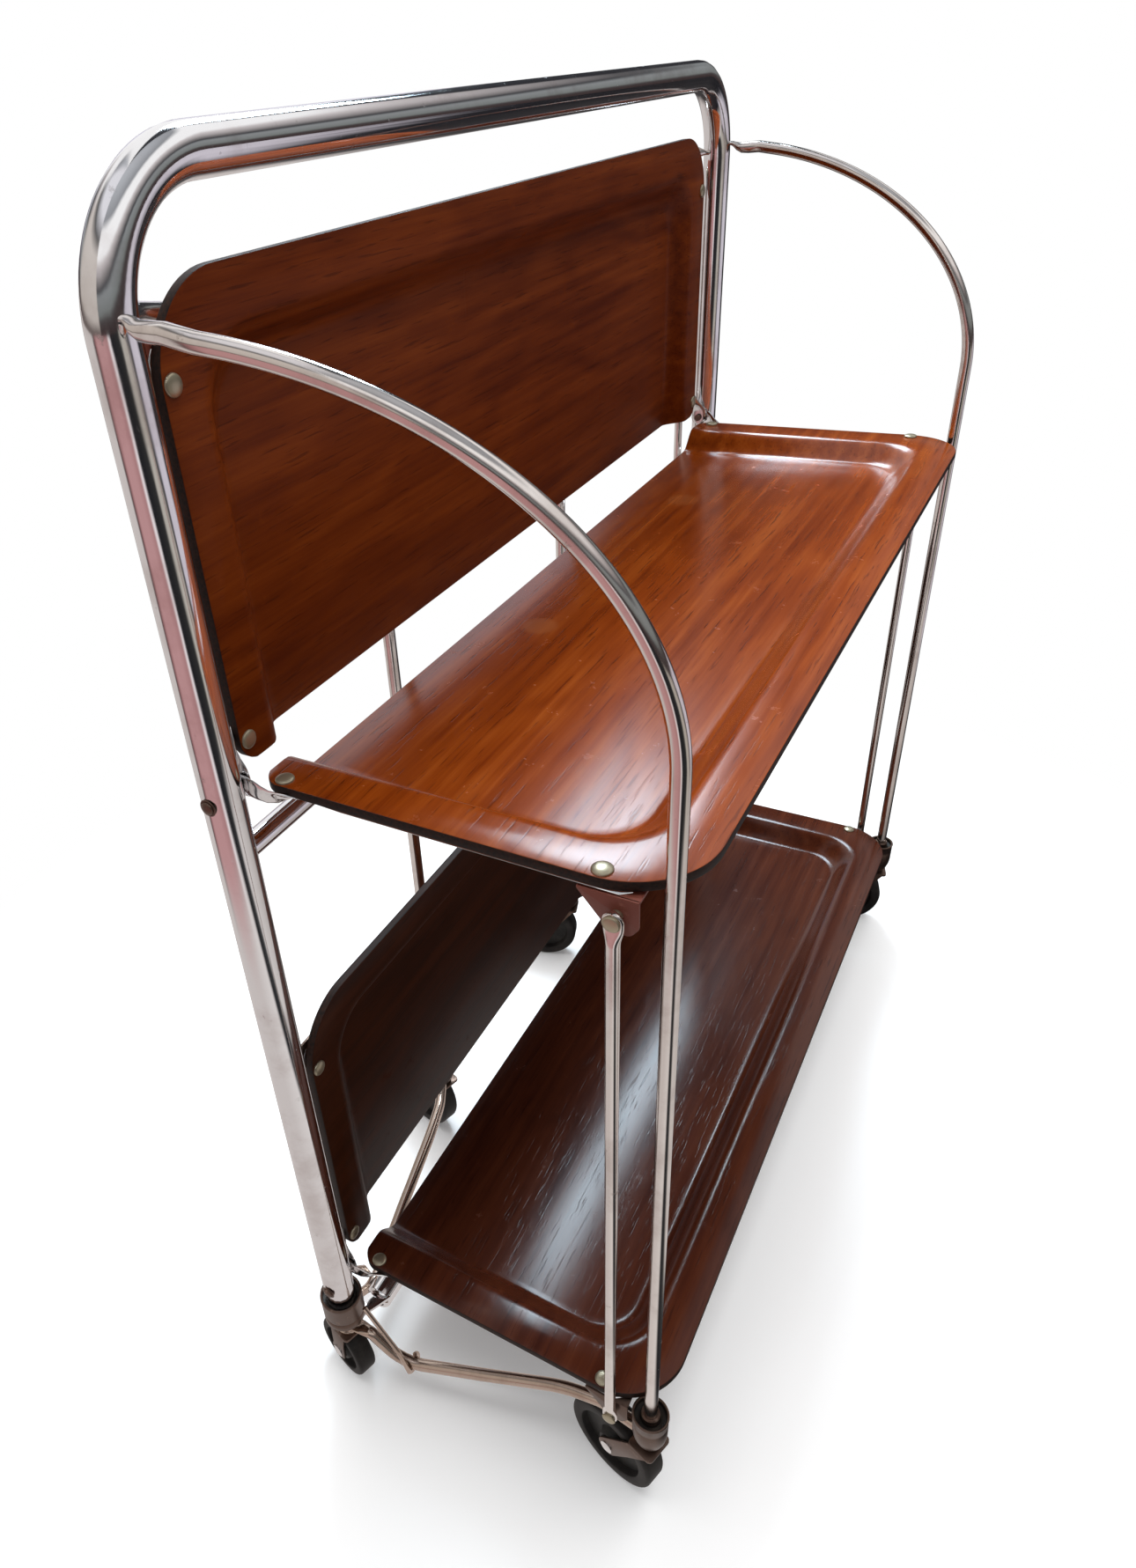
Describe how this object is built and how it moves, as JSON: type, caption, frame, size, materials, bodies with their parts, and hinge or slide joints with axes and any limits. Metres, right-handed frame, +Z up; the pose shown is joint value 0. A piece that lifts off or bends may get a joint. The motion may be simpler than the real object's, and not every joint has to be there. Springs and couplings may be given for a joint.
{
  "type": "folding serving cart",
  "caption": "Folding bar cart with a tube frame, moulded wood trays on link rods, swinging bows and small swivel casters.",
  "frame": {"origin": "centre of the bounding box on the floor, under the cart as it stands with the front wing open and the back wing folded", "axes": "+X along the handle, +Y from the open wing to the folded wing, +Z up"},
  "size_m": [0.6796, 0.3162, 0.75],
  "materials": {
    "chromed_steel": "bright, slightly scratched",
    "lacquered_plywood": "semi-gloss lacquer, red-brown",
    "brown_red_paint": "satin",
    "bronzed_cup": "bronze-brown satin",
    "dark_tyre": "matt, worn"
  },
  "bodies": {
    "frame": {"main_frame": "chromed_steel", "lower_crossbar": "chromed_steel", "left_foot_cup": "bronzed_cup", "right_foot_cup": "bronzed_cup", "left_upper_hinge_pin": "bronzed_cup", "left_lower_hinge_pin": "bronzed_cup", "right_upper_hinge_pin": "bronzed_cup", "right_lower_hinge_pin": "bronzed_cup"},
    "front_upper_tray_body": {"front_upper_tray": "lacquered_plywood", "front_upper_left_arm": "chromed_steel", "front_upper_left_bracket": "brown_red_paint", "front_upper_right_arm": "chromed_steel", "front_upper_right_bracket": "brown_red_paint"},
    "front_lower_tray_body": {"front_lower_tray": "lacquered_plywood", "front_lower_left_arm": "chromed_steel", "front_lower_left_bracket": "brown_red_paint", "front_lower_right_arm": "chromed_steel", "front_lower_right_bracket": "brown_red_paint"},
    "front_left_link_body": {"front_left_link_rod": "chromed_steel"},
    "front_left_bow_body": {"front_left_bow": "chromed_steel", "front_left_bow_foot_tube": "chromed_steel", "front_left_wire_link": "chromed_steel", "front_left_caster_cup": "bronzed_cup"},
    "front_left_caster_body": {"front_left_caster_fork": "chromed_steel"},
    "front_left_wheel_body": {"front_left_caster_wheel": "dark_tyre"},
    "front_right_link_body": {"front_right_link_rod": "chromed_steel"},
    "front_right_bow_body": {"front_right_bow": "chromed_steel", "front_right_bow_foot_tube": "chromed_steel", "front_right_wire_link": "chromed_steel", "front_right_caster_cup": "bronzed_cup"},
    "front_right_caster_body": {"front_right_caster_fork": "chromed_steel"},
    "front_right_wheel_body": {"front_right_caster_wheel": "dark_tyre"},
    "back_upper_tray_body": {"back_upper_tray": "lacquered_plywood", "back_upper_left_arm": "chromed_steel", "back_upper_left_bracket": "brown_red_paint", "back_upper_right_arm": "chromed_steel", "back_upper_right_bracket": "brown_red_paint"},
    "back_lower_tray_body": {"back_lower_tray": "lacquered_plywood", "back_lower_left_arm": "chromed_steel", "back_lower_left_bracket": "brown_red_paint", "back_lower_right_arm": "chromed_steel", "back_lower_right_bracket": "brown_red_paint"},
    "back_left_link_body": {"back_left_link_rod": "chromed_steel"},
    "back_left_bow_body": {"back_left_bow": "chromed_steel", "back_left_bow_foot_tube": "chromed_steel", "back_left_wire_link": "chromed_steel", "back_left_caster_cup": "bronzed_cup"},
    "back_left_caster_body": {"back_left_caster_fork": "chromed_steel"},
    "back_left_wheel_body": {"back_left_caster_wheel": "dark_tyre"},
    "back_right_link_body": {"back_right_link_rod": "chromed_steel"},
    "back_right_bow_body": {"back_right_bow": "chromed_steel", "back_right_bow_foot_tube": "chromed_steel", "back_right_wire_link": "chromed_steel", "back_right_caster_cup": "bronzed_cup"},
    "back_right_caster_body": {"back_right_caster_fork": "chromed_steel"},
    "back_right_wheel_body": {"back_right_caster_wheel": "dark_tyre"},
    "left_foot_caster_body": {"left_foot_caster_fork": "chromed_steel"},
    "left_foot_wheel_body": {"left_foot_caster_wheel": "dark_tyre"},
    "right_foot_caster_body": {"right_foot_caster_fork": "chromed_steel"},
    "right_foot_wheel_body": {"right_foot_caster_wheel": "dark_tyre"}
  },
  "joints": [
    {"name": "front_upper_tray_fold", "type": "hinge", "parent": "frame", "child": "front_upper_tray_body", "pos_m": [0, 0.05951, 0.488], "axis": [-1, 0, 0], "range_deg": [0, 90]},
    {"name": "front_lower_tray_fold", "type": "hinge", "parent": "frame", "child": "front_lower_tray_body", "pos_m": [0, 0.05951, 0.103], "axis": [-1, 0, 0], "range_deg": [0, 90]},
    {"name": "front_left_link_turn", "type": "hinge", "parent": "front_upper_tray_body", "child": "front_left_link_body", "pos_m": [-0.311, -0.12249, 0.4705], "axis": [-1, 0, 0], "range_deg": [-90, 0]},
    {"name": "front_left_bow_swing", "type": "hinge", "parent": "frame", "child": "front_left_bow_body", "pos_m": [-0.326, 0.05951, 0.691], "axis": [0, 0, -1], "range_deg": [-1, 4.5]},
    {"name": "front_left_caster_swivel", "type": "hinge", "parent": "front_left_bow_body", "child": "front_left_caster_body", "pos_m": [-0.30209, -0.14711, 0.0613], "axis": [0, 0, 1], "continuous": true},
    {"name": "front_left_wheel_spin", "type": "hinge", "parent": "front_left_caster_body", "child": "front_left_wheel_body", "pos_m": [-0.29493, -0.12368, 0.031], "axis": [0.9563, -0.2924, 0], "continuous": true},
    {"name": "front_right_link_turn", "type": "hinge", "parent": "front_upper_tray_body", "child": "front_right_link_body", "pos_m": [0.311, -0.12249, 0.4705], "axis": [-1, 0, 0], "range_deg": [-90, 0]},
    {"name": "front_right_bow_swing", "type": "hinge", "parent": "frame", "child": "front_right_bow_body", "pos_m": [0.326, 0.05951, 0.691], "axis": [0, 0, 1], "range_deg": [-1, 4.5]},
    {"name": "front_right_caster_swivel", "type": "hinge", "parent": "front_right_bow_body", "child": "front_right_caster_body", "pos_m": [0.30209, -0.14711, 0.0613], "axis": [0, 0, 1], "continuous": true},
    {"name": "front_right_wheel_spin", "type": "hinge", "parent": "front_right_caster_body", "child": "front_right_wheel_body", "pos_m": [0.29493, -0.12368, 0.031], "axis": [0.9563, 0.2924, 0], "continuous": true},
    {"name": "back_upper_tray_fold", "type": "hinge", "parent": "frame", "child": "back_upper_tray_body", "pos_m": [0, 0.05951, 0.488], "axis": [-1, 0, 0], "range_deg": [0, 0.6]},
    {"name": "back_lower_tray_fold", "type": "hinge", "parent": "frame", "child": "back_lower_tray_body", "pos_m": [0, 0.05951, 0.103], "axis": [-1, 0, 0], "range_deg": [0, 0.6]},
    {"name": "back_left_link_turn", "type": "hinge", "parent": "back_upper_tray_body", "child": "back_left_link_body", "pos_m": [-0.311, 0.07701, 0.67], "axis": [-1, 0, 0], "range_deg": [-0.6, 0]},
    {"name": "back_left_bow_swing", "type": "hinge", "parent": "frame", "child": "back_left_bow_body", "pos_m": [-0.326, 0.05951, 0.691], "axis": [0, 0, 1], "range_deg": [0, 72]},
    {"name": "back_left_caster_swivel", "type": "hinge", "parent": "back_left_bow_body", "child": "back_left_caster_body", "pos_m": [-0.1227, 0.10347, 0.0613], "axis": [0, 0, 1], "range_deg": [-85, 85]},
    {"name": "back_left_wheel_spin", "type": "hinge", "parent": "back_left_caster_body", "child": "back_left_wheel_body", "pos_m": [-0.11553, 0.1269, 0.031], "axis": [0.9563, -0.2924, 0], "continuous": true},
    {"name": "back_right_link_turn", "type": "hinge", "parent": "back_upper_tray_body", "child": "back_right_link_body", "pos_m": [0.311, 0.07701, 0.67], "axis": [-1, 0, 0], "range_deg": [-0.6, 0]},
    {"name": "back_right_bow_swing", "type": "hinge", "parent": "frame", "child": "back_right_bow_body", "pos_m": [0.326, 0.05951, 0.691], "axis": [0, 0, -1], "range_deg": [0, 72]},
    {"name": "back_right_caster_swivel", "type": "hinge", "parent": "back_right_bow_body", "child": "back_right_caster_body", "pos_m": [0.1227, 0.10347, 0.0613], "axis": [0, 0, 1], "range_deg": [-85, 85]},
    {"name": "back_right_wheel_spin", "type": "hinge", "parent": "back_right_caster_body", "child": "back_right_wheel_body", "pos_m": [0.11553, 0.1269, 0.031], "axis": [0.9563, 0.2924, 0], "continuous": true},
    {"name": "left_foot_caster_swivel", "type": "hinge", "parent": "frame", "child": "left_foot_caster_body", "pos_m": [-0.326, 0.05951, 0.0496], "axis": [0, 0, 1], "continuous": true},
    {"name": "left_foot_wheel_spin", "type": "hinge", "parent": "left_foot_caster_body", "child": "left_foot_wheel_body", "pos_m": [-0.32454, 0.06429, 0.022], "axis": [0.9563, -0.2924, 0], "continuous": true},
    {"name": "right_foot_caster_swivel", "type": "hinge", "parent": "frame", "child": "right_foot_caster_body", "pos_m": [0.326, 0.05951, 0.0496], "axis": [0, 0, 1], "continuous": true},
    {"name": "right_foot_wheel_spin", "type": "hinge", "parent": "right_foot_caster_body", "child": "right_foot_wheel_body", "pos_m": [0.32454, 0.06429, 0.022], "axis": [0.9563, 0.2924, 0], "continuous": true}
  ],
  "couplings": [
    {"joint": "front_lower_tray_fold", "follows": "front_upper_tray_fold", "ratio": 1},
    {"joint": "front_left_link_turn", "follows": "front_upper_tray_fold", "ratio": -1},
    {"joint": "front_right_link_turn", "follows": "front_upper_tray_fold", "ratio": -1},
    {"joint": "back_lower_tray_fold", "follows": "back_upper_tray_fold", "ratio": 1},
    {"joint": "back_left_link_turn", "follows": "back_upper_tray_fold", "ratio": -1},
    {"joint": "back_right_link_turn", "follows": "back_upper_tray_fold", "ratio": -1}
  ]
}
